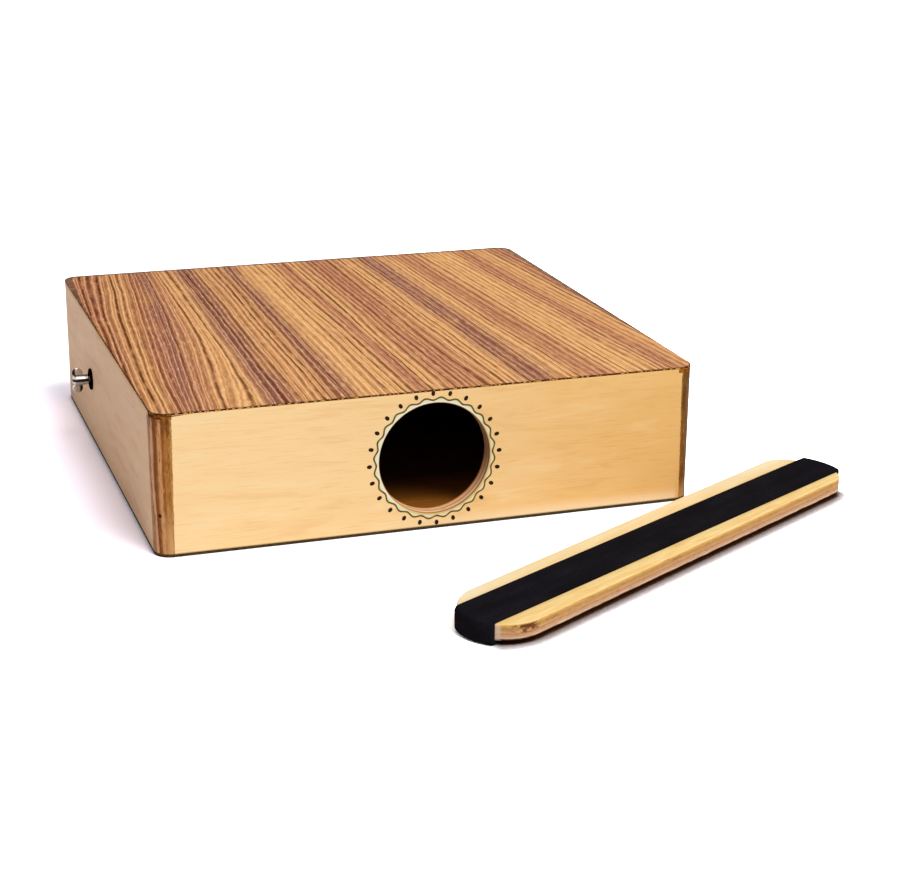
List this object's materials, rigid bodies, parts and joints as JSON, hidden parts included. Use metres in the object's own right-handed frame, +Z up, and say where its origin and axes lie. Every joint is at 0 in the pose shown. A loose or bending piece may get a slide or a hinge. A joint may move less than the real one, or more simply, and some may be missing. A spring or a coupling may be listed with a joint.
{
  "type": "travel cajon",
  "caption": "Flat square lap drum of plywood with a round sound hole, a wing knob that turns the snare wires off, and a loose lap bar.",
  "frame": {"origin": "centre of the box's underside, on the surface it rests on", "axes": "+X to the right of someone facing the sound hole, +Y from the sound hole to the back, +Z up through the striking panel"},
  "size_m": [0.4058, 0.4631, 0.0788],
  "materials": {
    "zebrano_veneer": "satin lacquered striped veneer",
    "birch_plywood": "satin lacquered plywood",
    "bottom_plywood": "raw plywood",
    "black_sheet": "matt grip sheet",
    "spruce": "raw sawn softwood",
    "black_nylon": "moulded, satin",
    "zinc_screw": "bright zinc plated",
    "bright_steel": "drawn and nickel plated",
    "chrome": "polished chrome plate",
    "beech": "planed, raw",
    "brass": "sheet, lightly tarnished",
    "spring_wire": "drawn spring wire",
    "bar_plywood": "satin lacquered plywood",
    "black_tape": "woven loop pile tape"
  },
  "bodies": {
    "cajon_body": {"top_panel": "zebrano_veneer", "front_panel": "birch_plywood", "back_panel": "birch_plywood", "left_side_panel": "birch_plywood", "right_side_panel": "birch_plywood", "bottom_panel": "bottom_plywood", "base_sheet": "black_sheet", "corner_block_back_right": "spruce", "corner_block_back_left": "spruce", "corner_block_front_left": "spruce", "corner_block_front_right": "spruce", "bottom_cleat_front": "spruce", "bottom_cleat_right": "spruce", "bottom_cleat_back": "spruce", "bottom_cleat_left": "spruce", "knob_bush": "black_nylon", "bush_nut": "black_nylon", "end_bush": "black_nylon", "end_bush_screw_lower": "zinc_screw", "end_bush_screw_upper": "zinc_screw"},
    "snare_gear": {"snare_rod": "bright_steel", "wing_knob": "chrome", "snare_batten": "beech", "rod_saddle_left": "bright_steel", "rod_saddle_right": "bright_steel", "saddle_screw_left_lower": "zinc_screw", "saddle_screw_left_upper": "zinc_screw", "saddle_screw_right_lower": "zinc_screw", "saddle_screw_right_upper": "zinc_screw", "snare_plate": "brass", "plate_screw_left": "zinc_screw", "plate_screw_right": "zinc_screw", "snare_wire_1": "spring_wire", "snare_wire_2": "spring_wire", "snare_wire_3": "spring_wire", "snare_wire_4": "spring_wire", "snare_wire_5": "spring_wire", "snare_wire_6": "spring_wire"},
    "lap_bar": {"lap_bar": "bar_plywood", "lap_bar_tape": "black_tape"}
  },
  "joints": [
    {"name": "snare_turn", "type": "hinge", "parent": "cajon_body", "child": "snare_gear", "pos_m": [0, 0.049, 0.04], "axis": [1, 0, 0], "range_deg": [0, 25]},
    {"name": "lap_bar_lift", "type": "slide", "parent": "cajon_body", "child": "lap_bar", "axis": [0, 0, 1], "range_m": [0, 0.15]}
  ]
}
